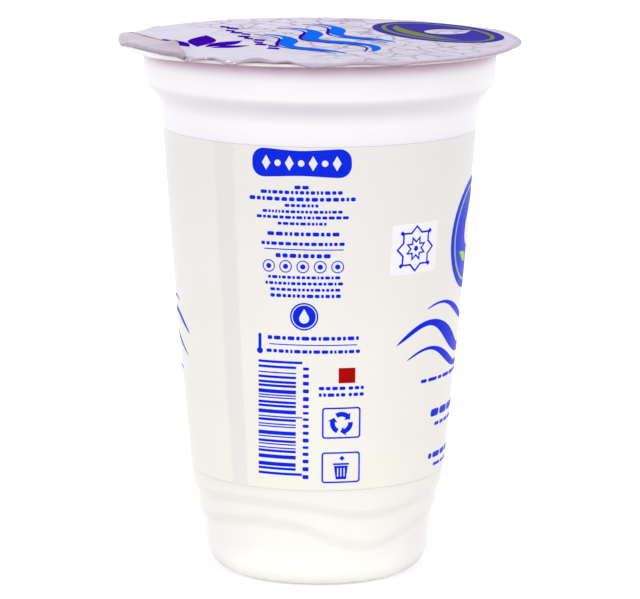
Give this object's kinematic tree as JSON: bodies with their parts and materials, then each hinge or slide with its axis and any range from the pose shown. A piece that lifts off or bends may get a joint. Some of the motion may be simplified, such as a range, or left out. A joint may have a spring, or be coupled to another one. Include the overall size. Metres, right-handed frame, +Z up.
{
  "type": "ayran cup",
  "caption": "Sealed single-serve drink cup with a tapered body, a stepped wavy foot, a wrap-round label and a peel-off foil lid with a folded pull tab.",
  "frame": {"origin": "centre of the base, on the surface that the cup stands on", "axes": "+Z up along the cup's axis, -Y towards the shown side, +X to its right"},
  "size_m": [0.078, 0.078, 0.1058],
  "materials": {
    "cup": "white moulded plastic, soft gloss, slightly milky",
    "label": "cream-white printed film with a satin face",
    "lid": "lacquered foil printed pale lilac, crinkled at the rim"
  },
  "bodies": {
    "root": {"cup": "cup", "label": "label", "lid": "lid"}
  },
  "joints": []
}
